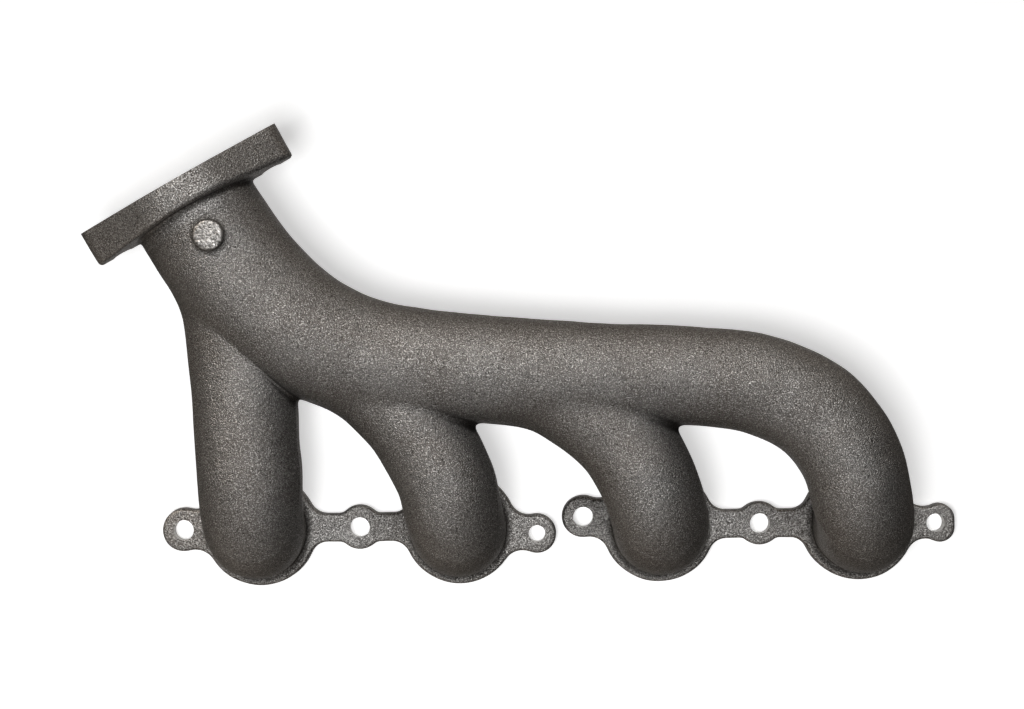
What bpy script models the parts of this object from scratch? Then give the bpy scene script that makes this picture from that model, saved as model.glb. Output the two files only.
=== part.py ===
"""Exhaust manifold for one bank of four cylinders: a hollow iron casting, kept as its named sections.

Units are metres. While it is built, X runs along the row of ports, Y from the ports towards the log and
the outlet, and Z away from the cylinder head, whose face is z = 0. The origin is midway between ports 2
and 3. At the end everything moves as one, so that the origin is the bottom centre of the bounding box.
"""

import math

import bmesh
import bpy
from mathutils import Matrix, Vector

MM = 0.001

# Sawn joints between sections of the casting.
GAP = 0.3 * MM
SAW_MARGIN = 6 * MM

# Ports and head flanges.
PORT_PITCH = 111.76 * MM
PORTS = [(i - 1.5) * PORT_PITCH for i in range(4)]
FLANGE_THICK = 10 * MM
PAD_RADIUS = 31.8 * MM
WEB_HALF_HEIGHT = 8.1 * MM
WEB_Y = 0.4 * MM
PAD_FILLET = 10 * MM
BOSS_FILLET = 5.5 * MM
EAR_FILLET = 11 * MM

# Bolt holes, as (x, y) from the flange's middle, and the radii of the hole and of the ear around it.
BOLT_REACH = 98.6 * MM
REAR_CENTRE_BOSS = (0, 0.6 * MM, 5.6 * MM, 12.4 * MM)
FRONT_CENTRE_BOSS = (0.7 * MM, 0.6 * MM, 5.6 * MM, 12.4 * MM)
REAR_END_EAR = (-BOLT_REACH, 0, 5.6 * MM, 12.3 * MM)
REAR_INNER_EAR = (99.3 * MM, -3.9 * MM, 4.7 * MM, 11 * MM)
FRONT_INNER_EAR = (-98.3 * MM, 5.2 * MM, 5.6 * MM, 12 * MM)
FRONT_END_HOLE = (99.1 * MM, 0, 5.1 * MM)
SQUARE_EAR_TIP = 11.3 * MM
SQUARE_EAR_HALF_HEIGHT = 11 * MM
SQUARE_EAR_CORNER = 8.5 * MM

# Gas passages.
WALL = 5 * MM
FOOT_RADIUS = 26 * MM
ELBOW_START = 27 * MM
FOOT_STRAIGHT = 1 * MM

# Outlet flange: a diamond plate square to the outlet's axis, thinned by draft from its long centreline.
OUTLET_CENTRE = Vector((-204.8, 193.2, 62)) * MM
OUTLET_HEADING = math.radians(119.2)
OUTLET_TILT = math.radians(6)
OUTLET_THICK = 20.6 * MM
OUTLET_DRAFT = math.radians(8)
OUTLET_HUB_RADIUS = 42 * MM
OUTLET_LOBE_RADIUS = 14 * MM
OUTLET_BOLT_REACH = 46 * MM
OUTLET_BOLT_HOLE_RADIUS = 5.5 * MM

# Blind boss on the neck.
BOSS_X, BOSS_Y = -184.7 * MM, 161 * MM
BOSS_RADIUS = 8 * MM
BOSS_TOP = 97.8 * MM

# Fineness of the faceted surfaces.
SHORTEST_EDGE = 0.05 * MM
RING_RESOLUTION = 9
SPAN_STEPS = 8
RING_TOLERANCE = 0.25 * MM
ARC_STEP = math.radians(15)

# Routes of the tube centrelines, as x, y, z and outer radius in millimetres.
MAIN_STATIONS = (
    (-204.6, 192.9, 62, 34),
    (-194.3, 174.2, 61.4, 34),
    (-183, 156, 60.5, 34.3),
    (-163.4, 130.7, 59, 34.5),
    (-137.2, 109.3, 58, 33.5),
    (-105.4, 96.6, 58, 31),
    (-73.1, 91.4, 58, 30),
    (-32, 88.3, 58, 28.6),
    (21.9, 85.6, 58, 27.3),
    (75.9, 83.7, 58, 26.4),
    (112.3, 77.7, 58, 27),
    (140.9, 62.1, 58, 27.5),
    (156.3, 41.2, 58, 27.5),
    (163.7, 16.4, 53.3, 27),
    (167.1, 4.5, 42, 26.5),
)
RUNNER_1_STATIONS = (
    (-167.9, 3.3, 37.7, 27.1),
    (-168.2, 12.6, 46.2, 27.9),
    (-168.6, 29.6, 50.6, 28.5),
    (-169.8, 46.1, 50.6, 28.5),
    (-170.9, 73.3, 50.6, 28.5),
    (-173.4, 100.5, 50.6, 28.5),
    (-175.8, 122.1, 53.2, 28.4),
    (-182, 148.2, 56, 28.4),
)
RUNNER_2_STATIONS = (
    (-56.6, 3.3, 38.4, 26.3),
    (-58.5, 12.7, 47.5, 26.6),
    (-62.5, 29.7, 52.2, 26.6),
    (-71.6, 47.9, 52.2, 26.6),
    (-80.7, 62.2, 52.2, 26.6),
    (-92.5, 75.3, 52.2, 26.6),
    (-108.2, 89, 52.6, 26.6),
    (-128.4, 103, 53.5, 26.5),
)
RUNNER_3_STATIONS = (
    (55.3, 3.3, 38.5, 26.3),
    (53.1, 12.7, 47.7, 26.6),
    (46.7, 29.7, 52.6, 26.6),
    (34.8, 50.1, 52.6, 26.6),
    (16.6, 66.6, 52.6, 26.6),
    (-5, 79.8, 52.6, 26.6),
    (-26, 87, 52.6, 26.6),
)

# Where the casting is sawn: the route, and the place along it counted in stations.
SAW_CUTS = (
    ("main", 2.25),
    ("main", 4.5),
    ("main", 7.3),
    ("main", 11),
    ("runner_1", 6.75),
    ("runner_2", 5.55),
    ("runner_3", 5.35),
)
# A place on the centreline inside each sawn section, counted the same way.
SECTIONS = {
    "outlet_neck": ("main", 1.5),
    "collector": ("main", 3.5),
    "log_rear": ("main", 6.2),
    "log_front": ("main", 9.5),
    "runner_4": ("main", 13),
    "runner_1": ("runner_1", 3.5),
    "runner_2": ("runner_2", 3.5),
    "runner_3": ("runner_3", 3.5),
}

IRON_SKIN = ((0.115, 0.108, 0.1), 0.62, 0.75)
IRON_FLANGE = ((0.15, 0.145, 0.138), 0.55, 0.8)
IRON_BOSS = ((0.22, 0.215, 0.2), 0.45, 0.85)


def clear_scene():
    for obj in list(bpy.data.objects):
        bpy.data.objects.remove(obj)


def new_collection(name):
    collection = bpy.data.collections.new(name)
    bpy.context.scene.collection.children.link(collection)
    return collection


def add_object(name, data, collection):
    obj = bpy.data.objects.new(name, data)
    collection.objects.link(obj)
    if collection is cutters:
        obj.hide_render = True
        obj.display_type = "WIRE"
    return obj


def mesh_from(obj):
    """The mesh that an object makes, in world space, with the loose seams of its caps welded."""
    bpy.context.view_layer.update()
    graph = bpy.context.evaluated_depsgraph_get()
    mesh = bpy.data.meshes.new_from_object(obj.evaluated_get(graph))
    mesh.transform(obj.matrix_world)
    shape = bmesh.new()
    shape.from_mesh(mesh)
    bmesh.ops.remove_doubles(shape, verts=shape.verts, dist=0.00001)
    bmesh.ops.recalc_face_normals(shape, faces=shape.faces)
    shape.to_mesh(mesh)
    shape.free()
    return mesh


def as_mesh_object(obj):
    """Replaces a curve, or an object with modifiers, by a plain mesh object of the same name."""
    name = obj.name
    collection = obj.users_collection[0]
    mesh = mesh_from(obj)
    bpy.data.objects.remove(obj)
    return add_object(name, mesh, collection)


def boolean(obj, other, operation):
    """Joins the other object to this one, or cuts it away from this one."""
    modifier = obj.modifiers.new(operation.title(), "BOOLEAN")
    modifier.operation = operation
    modifier.solver = "EXACT"
    modifier.object = other
    return as_mesh_object(obj)


def hermite(p, q, p_slope, q_slope, t):
    return (
        p * (2 * t**3 - 3 * t**2 + 1)
        + p_slope * (t**3 - 2 * t**2 + t)
        + q * (3 * t**2 - 2 * t**3)
        + q_slope * (t**3 - t**2)
    )


def strays(point, start, end):
    """How far a point is from the straight line between two others."""
    line = end - start
    offset = point - start
    return (offset - line * (offset.dot(line) / line.length_squared)).length


def thinned(samples):
    """Leaves out each sample that the straight line past it already meets within the tolerance."""
    kept = [samples[0]]
    start = 0
    for end in range(2, len(samples)):
        between = samples[start + 1 : end]
        if max(strays(s, samples[start], samples[end]) for s in between) > RING_TOLERANCE:
            start = end - 1
            kept.append(samples[start])
    return [*kept, samples[-1]]


class Route:
    """A smooth curve through stations of x, y, z and radius."""

    def __init__(self, stations):
        self.stations = [Vector(s) * MM for s in stations]
        pairs = zip(self.stations, self.stations[1:])
        self.chords = [(b - a).length for a, b in pairs]
        rises = [
            (self.stations[i + 1] - self.stations[i]) / chord
            for i, chord in enumerate(self.chords)
        ]
        inner = [
            (rises[i] * self.chords[i + 1] + rises[i + 1] * self.chords[i])
            / (self.chords[i] + self.chords[i + 1])
            for i in range(len(rises) - 1)
        ]
        self.slopes = [rises[0], *inner, rises[-1]]

    def at(self, place):
        """The point and radius at a place counted in stations."""
        i = min(int(place), len(self.chords) - 1)
        chord = self.chords[i]
        return hermite(
            self.stations[i],
            self.stations[i + 1],
            self.slopes[i] * chord,
            self.slopes[i + 1] * chord,
            place - i,
        )

    def heading(self, place):
        step = 0.01
        ahead = min(place + step, len(self.chords))
        behind = max(place - step, 0)
        return (self.at(ahead) - self.at(behind)).xyz.normalized()

    def samples(self, end=None):
        """Points along the curve up to a station, close together only where it bends or changes width."""
        end = end or len(self.chords)
        return thinned([self.at(k / SPAN_STEPS) for k in range(end * SPAN_STEPS + 1)])


def foot_stations(port_x):
    """The straight start of a tube, square to the head, listed from the elbow down to the head's face."""
    x = port_x / MM
    radius = FOOT_RADIUS / MM
    return tuple((x, 0, z, radius) for z in (ELBOW_START / MM, ELBOW_START / MM / 2, 0))


def make_routes():
    """Every tube's route. The main tube runs from the outlet to port 4, and the others from a port to it."""
    routes = {"main": Route(MAIN_STATIONS + foot_stations(PORTS[3]))}
    branches = (RUNNER_1_STATIONS, RUNNER_2_STATIONS, RUNNER_3_STATIONS)
    for number, stations in enumerate(branches, 1):
        foot = foot_stations(PORTS[number - 1])[::-1]
        routes[f"runner_{number}"] = Route(foot + stations)
    return routes


def tube(name, samples, thinner=0.0):
    """A round bar along the samples, thinner than their radius by the given amount."""
    curve = bpy.data.curves.new(name, "CURVE")
    curve.dimensions = "3D"
    curve.bevel_depth = 1.0
    curve.bevel_resolution = RING_RESOLUTION
    curve.use_fill_caps = True
    spline = curve.splines.new("POLY")
    spline.points.add(len(samples) - 1)
    for point, sample in zip(spline.points, samples):
        point.co = (*sample.xyz, 1)
        point.radius = sample.w - thinner
    return as_mesh_object(add_object(name, curve, cutters))


def with_feet(samples, level):
    """The samples above a level, with each end that went below it replaced by a short upright foot on it."""
    kept = [s for s in samples if s.z > level + 2 * FOOT_STRAIGHT]
    for end in (samples[0], samples[-1]):
        if end.z > level:
            continue
        foot = [Vector((end.x, end.y, level + rise, end.w)) for rise in (0, FOOT_STRAIGHT)]
        kept = [*foot, *kept] if end is samples[0] else [*kept, *reversed(foot)]
    return kept


def lengthened(samples, reach):
    """The samples with both ends carried on by a reach, for a cutter that runs past the faces it opens."""
    first, last = samples[0], samples[-1]
    before = first.xyz + (first.xyz - samples[1].xyz).normalized() * reach
    after = last.xyz + (last.xyz - samples[-2].xyz).normalized() * reach
    return [Vector((*before, first.w)), *samples, Vector((*after, last.w))]


def cylinder(name, centre, axis, radius, length, collection, sides=32):
    shape = bmesh.new()
    bmesh.ops.create_cone(
        shape,
        cap_ends=True,
        segments=sides,
        radius1=radius,
        radius2=radius,
        depth=length,
    )
    mesh = bpy.data.meshes.new(name)
    shape.to_mesh(mesh)
    shape.free()
    turn = Vector((0, 0, 1)).rotation_difference(axis).to_matrix().to_4x4()
    mesh.transform(Matrix.Translation(centre) @ turn)
    return add_object(name, mesh, collection)


def belt(circles):
    """The closed outline of a belt round circles (x, y, radius), listed anticlockwise.

    The belt runs inside a circle whose radius is negative, which makes a concave fillet.
    """
    turns = []
    for (x1, y1, r1), (x2, y2, r2) in zip(circles, circles[1:] + circles[:1]):
        across = max(-1.0, min(1.0, (r1 - r2) / math.hypot(x2 - x1, y2 - y1)))
        turns.append(math.atan2(y2 - y1, x2 - x1) + math.asin(across))
    outline = []
    for i, (x, y, r) in enumerate(circles):
        start = turns[i - 1] - math.pi / 2
        sweep = (turns[i] - turns[i - 1]) * math.copysign(1, r)
        sweep = sweep % math.tau * math.copysign(1, r)
        steps = max(1, round(abs(sweep) / ARC_STEP))
        for k in range(steps + 1):
            angle = start + sweep * k / steps
            point = (x + r * math.cos(angle), y + r * math.sin(angle))
            if not outline or math.dist(point, outline[-1]) > SHORTEST_EDGE:
                outline.append(point)
    return outline


def fillet_between(a, b, radius, side):
    """The fillet circle that touches circles a and b from outside, on the given side of the line a to b."""
    along = Vector((b[0] - a[0], b[1] - a[1]))
    gap = along.length
    reach_a, reach_b = a[2] + radius, b[2] + radius
    forward = (reach_a**2 - reach_b**2 + gap**2) / (2 * gap)
    outward = math.sqrt(reach_a**2 - forward**2) * side
    unit = along / gap
    return (
        a[0] + unit.x * forward - unit.y * outward,
        a[1] + unit.y * forward + unit.x * outward,
        -radius,
    )


def fillet_to_web(circle, radius, towards, side):
    """The fillet circle between a circle and the straight edge of the web beside it."""
    level = WEB_Y + side * (WEB_HALF_HEIGHT + radius)
    forward = math.sqrt((circle[2] + radius) ** 2 - (level - circle[1]) ** 2)
    return (circle[0] + towards * forward, level, -radius)


def plate(name, outline, thickness, collection):
    """A flat plate of the outline, standing on the XY plane."""
    curve = bpy.data.curves.new(name, "CURVE")
    curve.dimensions = "2D"
    curve.fill_mode = "BOTH"
    curve.extrude = thickness / 2
    spline = curve.splines.new("POLY")
    spline.points.add(len(outline) - 1)
    for point, (x, y) in zip(spline.points, outline):
        point.co = (x, y, 0, 1)
    spline.use_cyclic_u = True
    obj = add_object(name, curve, collection)
    obj.location.z = thickness / 2
    obj = as_mesh_object(obj)
    shape = bmesh.new()
    shape.from_mesh(obj.data)
    for level in (0, thickness):
        flat = [f for f in shape.faces if all(abs(v.co.z - level) < GAP for v in f.verts)]
        bmesh.ops.dissolve_faces(shape, faces=flat)
    shape.to_mesh(obj.data)
    shape.free()
    return obj


def flange_outline(left_end, boss, right_end, pads):
    """Goes anticlockwise round a head flange: along its lower edge to the right, and back along the top."""
    pad_a, pad_b = pads
    lower = [
        pad_a,
        fillet_to_web(pad_a, PAD_FILLET, 1, -1),
        fillet_to_web(boss, BOSS_FILLET, -1, -1),
        boss,
        fillet_to_web(boss, BOSS_FILLET, 1, -1),
        fillet_to_web(pad_b, PAD_FILLET, -1, -1),
        pad_b,
    ]
    upper = [
        pad_b,
        fillet_to_web(pad_b, PAD_FILLET, -1, 1),
        fillet_to_web(boss, BOSS_FILLET, 1, 1),
        boss,
        fillet_to_web(boss, BOSS_FILLET, -1, 1),
        fillet_to_web(pad_a, PAD_FILLET, 1, 1),
        pad_a,
    ]
    right = [
        fillet_between(pad_b, right_end[0], EAR_FILLET, -1),
        *right_end,
        fillet_between(pad_b, right_end[-1], EAR_FILLET, 1),
    ]
    left = [
        fillet_between(pad_a, left_end[0], EAR_FILLET, -1),
        *left_end,
        fillet_between(pad_a, left_end[-1], EAR_FILLET, 1),
    ]
    return belt(lower + right + upper + left)


def ear_circle(middle, ear):
    return (middle + ear[0], ear[1], ear[3])


def square_end(middle, hole):
    """The two corner circles of a squared ear, lower one first."""
    x = middle + hole[0] + SQUARE_EAR_TIP - SQUARE_EAR_CORNER
    rise = SQUARE_EAR_HALF_HEIGHT - SQUARE_EAR_CORNER
    return [(x, hole[1] + side * rise, SQUARE_EAR_CORNER) for side in (-1, 1)]


def head_flange(name, ports, left_end, boss, right_end, holes, passages):
    """One head flange with its bolt holes and its two ports."""
    middle = sum(ports) / 2
    pads = [(x, 0, PAD_RADIUS) for x in ports]
    outline = flange_outline(left_end, ear_circle(middle, boss), right_end, pads)
    obj = plate(name, outline, FLANGE_THICK, manifold)
    for hole in holes:
        centre = Vector((middle + hole[0], hole[1], FLANGE_THICK / 2))
        drill = cylinder("drill", centre, Vector((0, 0, 1)), hole[2], 3 * FLANGE_THICK, cutters, 24)
        obj = boolean(obj, drill, "DIFFERENCE")
        bpy.data.objects.remove(drill)
    return boolean(obj, passages, "DIFFERENCE")


def head_flanges(passages):
    rear, front = PORTS[:2], PORTS[2:]
    rear_middle, front_middle = sum(rear) / 2, sum(front) / 2
    head_flange(
        "head_flange_rear",
        rear,
        [ear_circle(rear_middle, REAR_END_EAR)],
        REAR_CENTRE_BOSS,
        [ear_circle(rear_middle, REAR_INNER_EAR)],
        (REAR_END_EAR, REAR_CENTRE_BOSS, REAR_INNER_EAR),
        passages,
    )
    head_flange(
        "head_flange_front",
        front,
        [ear_circle(front_middle, FRONT_INNER_EAR)],
        FRONT_CENTRE_BOSS,
        square_end(front_middle, FRONT_END_HOLE),
        (FRONT_INNER_EAR, FRONT_CENTRE_BOSS, FRONT_END_HOLE),
        passages,
    )


def outlet_frame():
    """The outlet flange's own frame: X along its bolts, Y along its short way and Z out of its face."""
    flat = Vector((math.cos(OUTLET_HEADING), math.sin(OUTLET_HEADING), 0))
    out = flat * math.cos(OUTLET_TILT) + Vector((0, 0, 1)) * math.sin(OUTLET_TILT)
    along = flat.cross(Vector((0, 0, 1))).normalized()
    up = out.cross(along)
    turn = Matrix((along, up, out)).transposed().to_4x4()
    return Matrix.Translation(OUTLET_CENTRE) @ turn


def outlet_blank(name, collection, lowered=0.0):
    """The outlet flange before it is bored, with draft on both halves of its back."""
    outline = belt(
        [
            (-OUTLET_BOLT_REACH, 0, OUTLET_LOBE_RADIUS),
            (0, 0, OUTLET_HUB_RADIUS),
            (OUTLET_BOLT_REACH, 0, OUTLET_LOBE_RADIUS),
            (0, 0, OUTLET_HUB_RADIUS),
        ]
    )
    obj = plate(name, outline, OUTLET_THICK + lowered, collection)
    obj.data.transform(Matrix.Translation((0, 0, -OUTLET_THICK - lowered)))
    shape = bmesh.new()
    shape.from_mesh(obj.data)
    for side in (-1, 1):
        cut = bmesh.ops.bisect_plane(
            shape,
            geom=[*shape.verts, *shape.edges, *shape.faces],
            dist=1e-7,
            plane_co=(0, 0, -OUTLET_THICK - lowered),
            plane_no=(0, side * math.sin(OUTLET_DRAFT), -math.cos(OUTLET_DRAFT)),
            clear_outer=True,
        )
        edges = [e for e in cut["geom_cut"] if isinstance(e, bmesh.types.BMEdge)]
        bmesh.ops.edgenet_fill(shape, edges=edges)
    bmesh.ops.recalc_face_normals(shape, faces=shape.faces)
    shape.to_mesh(obj.data)
    shape.free()
    obj.data.transform(outlet_frame())
    return obj


def outlet_flange(passages):
    obj = outlet_blank("outlet_flange", manifold)
    frame = outlet_frame()
    axis = frame.to_3x3() @ Vector((0, 0, 1))
    for side in (-1, 1):
        centre = frame @ Vector((side * OUTLET_BOLT_REACH, 0, 0))
        drill = cylinder("drill", centre, axis, OUTLET_BOLT_HOLE_RADIUS, 3 * OUTLET_THICK, cutters, 24)
        obj = boolean(obj, drill, "DIFFERENCE")
        bpy.data.objects.remove(drill)
    return boolean(obj, passages, "DIFFERENCE")


def joined(name, bars):
    """One solid from bars that run into each other."""
    whole = bars[0]
    for bar in bars[1:]:
        whole = boolean(whole, bar, "UNION")
        bpy.data.objects.remove(bar)
    whole.name = name
    return whole


def make_passages(routes):
    """The gas passages as one solid, running out through every port and through the outlet."""
    reach = 10 * MM
    bars = [
        tube(f"{name}_bore", lengthened(route.samples(), reach), WALL)
        if name == "main"
        else tube(f"{name}_bore", lengthened(route.samples(), reach)[:-1], WALL)
        for name, route in routes.items()
    ]
    return joined("passages", bars)


def make_outside(routes):
    """The outside of all the tubes as one solid, ending just above the head flanges."""
    foot = FLANGE_THICK + GAP
    bars = [tube(f"{name}_bar", with_feet(route.samples(), foot)) for name, route in routes.items()]
    return joined("outside", bars)


def saw(obj, routes):
    """Cuts the casting into sections with thin discs square to the tubes."""
    for name, place in SAW_CUTS:
        sample = routes[name].at(place)
        disc = cylinder(
            "disc",
            sample.xyz,
            routes[name].heading(place),
            sample.w + SAW_MARGIN,
            GAP,
            cutters,
            48,
        )
        obj = boolean(obj, disc, "DIFFERENCE")
        bpy.data.objects.remove(disc)
    return obj


def loose_parts(mesh):
    """The connected parts of a mesh, each as a new mesh."""
    whole = bmesh.new()
    whole.from_mesh(mesh)
    whole.verts.ensure_lookup_table()
    labels = [-1] * len(whole.verts)
    count = 0
    for start in whole.verts:
        if labels[start.index] >= 0:
            continue
        waiting = [start]
        labels[start.index] = count
        while waiting:
            vert = waiting.pop()
            for edge in vert.link_edges:
                other = edge.other_vert(vert)
                if labels[other.index] < 0:
                    labels[other.index] = count
                    waiting.append(other)
        count += 1
    whole.free()
    parts = []
    for label in range(count):
        part = bmesh.new()
        part.from_mesh(mesh)
        others = [v for v in part.verts if labels[v.index] != label]
        bmesh.ops.delete(part, geom=others, context="VERTS")
        piece = bpy.data.meshes.new("section")
        part.to_mesh(piece)
        part.free()
        parts.append(piece)
    return parts


def name_sections(mesh, routes):
    """Makes one object of each sawn section. A section is known by its surface being nearest to its label."""
    parts = loose_parts(mesh)
    for name, (route, place) in SECTIONS.items():
        label = routes[route].at(place).xyz
        nearest = min(parts, key=lambda part: min((v.co - label).length for v in part.vertices))
        add_object(name, nearest, manifold)


def tube_sections(routes, passages):
    outside = make_outside(routes)
    blank = outlet_blank("outlet_space", cutters, GAP)
    casting = boolean(outside, blank, "DIFFERENCE")
    bpy.data.objects.remove(blank)
    casting = boolean(casting, passages, "DIFFERENCE")
    casting = saw(casting, routes)
    name_sections(casting.data, routes)
    bpy.data.objects.remove(casting)


def sensor_boss(routes):
    """A short round boss whose underside follows the neck."""
    bottom = routes["main"].at(2).z + 20 * MM
    centre = Vector((BOSS_X, BOSS_Y, (BOSS_TOP + bottom) / 2))
    obj = cylinder("sensor_boss", centre, Vector((0, 0, 1)), BOSS_RADIUS, BOSS_TOP - bottom, manifold)
    neck = tube("neck_space", routes["main"].samples(end=4), -GAP)
    obj = boolean(obj, neck, "DIFFERENCE")
    bpy.data.objects.remove(neck)
    return obj


def paint(obj, colour, roughness, metallic):
    material = bpy.data.materials.new(obj.name)
    material.use_nodes = True
    shader = material.node_tree.nodes["Principled BSDF"]
    shader.inputs["Base Color"].default_value = (*colour, 1)
    shader.inputs["Roughness"].default_value = roughness
    shader.inputs["Metallic"].default_value = metallic
    obj.data.materials.clear()
    obj.data.materials.append(material)


def finish(obj):
    """Gives a section its material, and shades its round faces smooth."""
    if "flange" in obj.name:
        paint(obj, *IRON_FLANGE)
    elif obj.name == "sensor_boss":
        paint(obj, *IRON_BOSS)
    else:
        paint(obj, *IRON_SKIN)
    obj.data.shade_smooth()
    obj.data.set_sharp_from_angle(angle=math.radians(35))


def centre_on_floor(objects):
    """Moves everything as one, so that the origin is the bottom centre of the bounding box."""
    corners = [v.co for obj in objects for v in obj.data.vertices]
    low = Vector([min(c[i] for c in corners) for i in range(3)])
    high = Vector([max(c[i] for c in corners) for i in range(3)])
    middle = (low + high) / 2
    frame = bpy.data.objects.new("manifold_frame", None)
    manifold.objects.link(frame)
    frame.location = (-middle.x, -middle.y, -low.z)
    for obj in objects:
        obj.parent = frame


clear_scene()
manifold = new_collection("exhaust_manifold")
cutters = new_collection("cutters")
tube_routes = make_routes()
gas_passages = make_passages(tube_routes)
head_flanges(gas_passages)
outlet_flange(gas_passages)
tube_sections(tube_routes, gas_passages)
sensor_boss(tube_routes)
sections = list(manifold.objects)
for section in sections:
    finish(section)
centre_on_floor(sections)
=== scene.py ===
"""The looks of the exhaust manifold: sand-cast iron, milled faces, a pale floor and soft light.

The casting is made as one distance field in millimetres, in the CAD model's building frame: X along
the ports, Y from the ports to the outlet, Z away from the cylinder head's face at z = 0. Fillets, draft
and the waviness of the mould come from the field. The field's surface is machined and drilled with
Booleans, cut into the CAD model's sections, and moved into the frame.
"""

import math
from typing import NamedTuple

import bmesh
import bpy
import numpy as np
import openvdb
from mathutils import Matrix, Vector


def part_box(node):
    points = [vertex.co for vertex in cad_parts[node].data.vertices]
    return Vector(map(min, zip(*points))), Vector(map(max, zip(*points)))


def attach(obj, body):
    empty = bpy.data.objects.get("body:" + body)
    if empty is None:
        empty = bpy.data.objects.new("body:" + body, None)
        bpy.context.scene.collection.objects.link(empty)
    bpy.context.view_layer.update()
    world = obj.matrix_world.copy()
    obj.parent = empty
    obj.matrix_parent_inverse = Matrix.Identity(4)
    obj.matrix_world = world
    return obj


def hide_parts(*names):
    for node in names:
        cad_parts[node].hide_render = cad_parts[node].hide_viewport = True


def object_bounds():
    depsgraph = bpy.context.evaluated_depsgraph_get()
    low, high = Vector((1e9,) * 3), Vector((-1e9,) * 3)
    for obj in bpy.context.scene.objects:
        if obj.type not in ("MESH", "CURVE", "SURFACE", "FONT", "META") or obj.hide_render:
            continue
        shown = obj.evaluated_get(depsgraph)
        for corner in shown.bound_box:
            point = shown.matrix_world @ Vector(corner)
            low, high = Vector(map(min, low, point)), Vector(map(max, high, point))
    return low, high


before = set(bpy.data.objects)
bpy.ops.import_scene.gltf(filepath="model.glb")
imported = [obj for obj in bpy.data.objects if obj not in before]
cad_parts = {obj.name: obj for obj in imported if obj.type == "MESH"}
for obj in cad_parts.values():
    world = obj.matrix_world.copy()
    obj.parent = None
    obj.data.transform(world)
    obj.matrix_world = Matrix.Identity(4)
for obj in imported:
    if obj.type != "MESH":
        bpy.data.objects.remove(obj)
CAD_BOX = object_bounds()

MM = 0.001
UP = Vector((0, 0, 1))

# ---------------------------------------------------------------- the casting's dimensions, millimetres

PORT_PITCH = 111.76
PORTS = [(i - 1.5) * PORT_PITCH for i in range(4)]
REAR_MIDDLE, FRONT_MIDDLE = -PORT_PITCH, PORT_PITCH
FLANGE_THICK = 10
PAD_RADIUS = 31.8
WEB_HALF_HEIGHT = 8.1
WEB_Y = 0.4
PAD_FILLET = 10
BOSS_FILLET = 5.5
EAR_FILLET = 11
FLANGE_EDGE_ROUND = 1.6
FLANGE_DRAFT = math.tan(math.radians(2))

# Ears as x, y and radius.
REAR_END_EAR = (REAR_MIDDLE - 98.6, 0, 12.3)
REAR_BOSS = (REAR_MIDDLE, 0.6, 12.4)
REAR_INNER_EAR = (REAR_MIDDLE + 99.3, -3.9, 11)
FRONT_INNER_EAR = (FRONT_MIDDLE - 98.3, 5.2, 12)
FRONT_BOSS = (FRONT_MIDDLE + 0.7, 0.6, 12.4)
SQUARE_EAR_X = FRONT_MIDDLE + 99.1 + 11.3
SQUARE_EAR_CORNER = 8.5
SQUARE_EAR_HALF_HEIGHT = 11
# Head bolt holes as x, y and radius.
HEAD_HOLES = (
    (*REAR_END_EAR[:2], 5.6),
    (*REAR_BOSS[:2], 5.6),
    (*REAR_INNER_EAR[:2], 4.7),
    (*FRONT_INNER_EAR[:2], 5.6),
    (*FRONT_BOSS[:2], 5.6),
    (FRONT_MIDDLE + 99.1, 0, 5.1),
)

WALL = 5
FOOT_RADIUS = 26
ELBOW_START = 27

OUTLET_CENTRE = Vector((-204.8, 193.2, 62))
OUTLET_HEADING = math.radians(119.2)
OUTLET_TILT = math.radians(6)
OUTLET_THICK = 20.6
OUTLET_DRAFT = math.radians(8)
OUTLET_EDGE_ROUND = 2.2
OUTLET_HUB_RADIUS = 42
OUTLET_LOBE_RADIUS = 14
OUTLET_BOLT_REACH = 46
OUTLET_BOLT_HOLE_RADIUS = 5.5

BOSS_X, BOSS_Y = -184.7, 161
BOSS_RADIUS = 8
BOSS_TOP = 97.8
BOSS_HEIGHT = 20
BOSS_EDGE_ROUND = 0.8

# Routes of the tube centrelines: x, y, z and outer radius, the same as in the CAD model.
MAIN_STATIONS = (
    (-204.6, 192.9, 62, 34),
    (-194.3, 174.2, 61.4, 34),
    (-183, 156, 60.5, 34.3),
    (-163.4, 130.7, 59, 34.5),
    (-137.2, 109.3, 58, 33.5),
    (-105.4, 96.6, 58, 31),
    (-73.1, 91.4, 58, 30),
    (-32, 88.3, 58, 28.6),
    (21.9, 85.6, 58, 27.3),
    (75.9, 83.7, 58, 26.4),
    (112.3, 77.7, 58, 27),
    (140.9, 62.1, 58, 27.5),
    (156.3, 41.2, 58, 27.5),
    (163.7, 16.4, 53.3, 27),
    (167.1, 4.5, 42, 26.5),
)
RUNNER_1_STATIONS = (
    (-167.9, 3.3, 37.7, 27.1),
    (-168.2, 12.6, 46.2, 27.9),
    (-168.6, 29.6, 50.6, 28.5),
    (-169.8, 46.1, 50.6, 28.5),
    (-170.9, 73.3, 50.6, 28.5),
    (-173.4, 100.5, 50.6, 28.5),
    (-175.8, 122.1, 53.2, 28.4),
    (-182, 148.2, 56, 28.4),
)
RUNNER_2_STATIONS = (
    (-56.6, 3.3, 38.4, 26.3),
    (-58.5, 12.7, 47.5, 26.6),
    (-62.5, 29.7, 52.2, 26.6),
    (-71.6, 47.9, 52.2, 26.6),
    (-80.7, 62.2, 52.2, 26.6),
    (-92.5, 75.3, 52.2, 26.6),
    (-108.2, 89, 52.6, 26.6),
    (-128.4, 103, 53.5, 26.5),
)
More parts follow.
